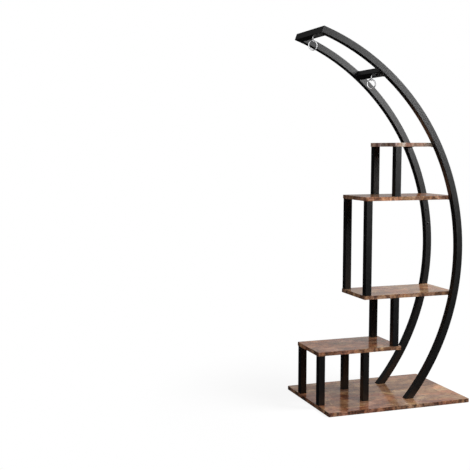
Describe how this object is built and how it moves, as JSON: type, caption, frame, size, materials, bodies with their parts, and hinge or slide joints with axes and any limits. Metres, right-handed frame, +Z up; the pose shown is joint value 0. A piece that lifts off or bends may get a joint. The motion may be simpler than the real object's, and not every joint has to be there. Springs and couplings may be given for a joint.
{
  "type": "tiered plant stand",
  "caption": "Tall half-moon plant stand with stepped wood-look shelves on black square-tube posts, bent side arches, and crossbars with swinging metal rings for hanging pots.",
  "frame": {"origin": "middle of the base board's underside, on the floor", "axes": "+Z up; +X towards the bulge of the arches, so the tip reaches back over the base towards -X; -Y is the front"},
  "size_m": [0.6168, 0.4, 1.4261],
  "materials": {
    "rustic_board": "rustic brown wood-grain laminate on particle board, satin",
    "black_powder_coat": "satin black powder coat on steel tube",
    "bare_steel": "plain steel, hidden inside the tubes",
    "zinc_steel": "bright zinc plate",
    "bright_metal": "bright plated wire"
  },
  "bodies": {
    "stand": {"base_board": "rustic_board", "step_shelf": "rustic_board", "lower_shelf": "rustic_board", "upper_shelf": "rustic_board", "top_shelf": "rustic_board", "base_post_outer_front": "black_powder_coat", "base_post_outer_back": "black_powder_coat", "base_post_inner_front": "black_powder_coat", "base_post_inner_back": "black_powder_coat", "mid_post_front": "black_powder_coat", "mid_post_back": "black_powder_coat", "long_post_front": "black_powder_coat", "long_post_back": "black_powder_coat", "top_post_front": "black_powder_coat", "top_post_back": "black_powder_coat", "front_arch_lower": "black_powder_coat", "front_arch_upper": "black_powder_coat", "back_arch_lower": "black_powder_coat", "back_arch_upper": "black_powder_coat", "end_bar": "black_powder_coat", "hook_bar": "black_powder_coat", "lower_shelf_brackets": "black_powder_coat", "upper_shelf_brackets": "black_powder_coat", "top_shelf_brackets": "black_powder_coat", "lower_shelf_screws": "black_powder_coat", "upper_shelf_screws": "black_powder_coat", "top_shelf_screws": "black_powder_coat", "arch_sleeve_screws": "black_powder_coat", "front_arch_sleeve": "bare_steel", "back_arch_sleeve": "bare_steel", "base_post_plugs": "bare_steel", "mid_post_plugs": "bare_steel", "long_post_plugs": "bare_steel", "top_post_plugs": "bare_steel", "arch_foot_plugs": "bare_steel", "base_post_studs": "zinc_steel", "mid_post_studs": "zinc_steel", "long_post_studs": "zinc_steel", "top_post_studs": "zinc_steel", "base_post_bolts": "zinc_steel", "mid_post_bolts": "zinc_steel", "long_post_bolts": "zinc_steel", "top_post_bolts": "zinc_steel", "arch_foot_bolts": "zinc_steel", "step_shelf_inserts": "zinc_steel", "lower_shelf_inserts": "zinc_steel", "upper_shelf_inserts": "zinc_steel", "top_shelf_inserts": "zinc_steel", "end_eye": "bright_metal", "hook_eye": "bright_metal"},
    "end_ring": {"end_ring": "bright_metal"},
    "hook_ring": {"hook_ring": "bright_metal"}
  },
  "joints": [
    {"name": "end_ring_swing", "type": "hinge", "parent": "stand", "child": "end_ring", "pos_m": [-0.2973, -0.02, 1.38411], "axis": [1, 0, 0], "range_deg": [-90, 90]},
    {"name": "hook_ring_swing", "type": "hinge", "parent": "stand", "child": "hook_ring", "pos_m": [-0.05253, -0.02, 1.24746], "axis": [1, 0, 0], "range_deg": [-90, 90]}
  ]
}
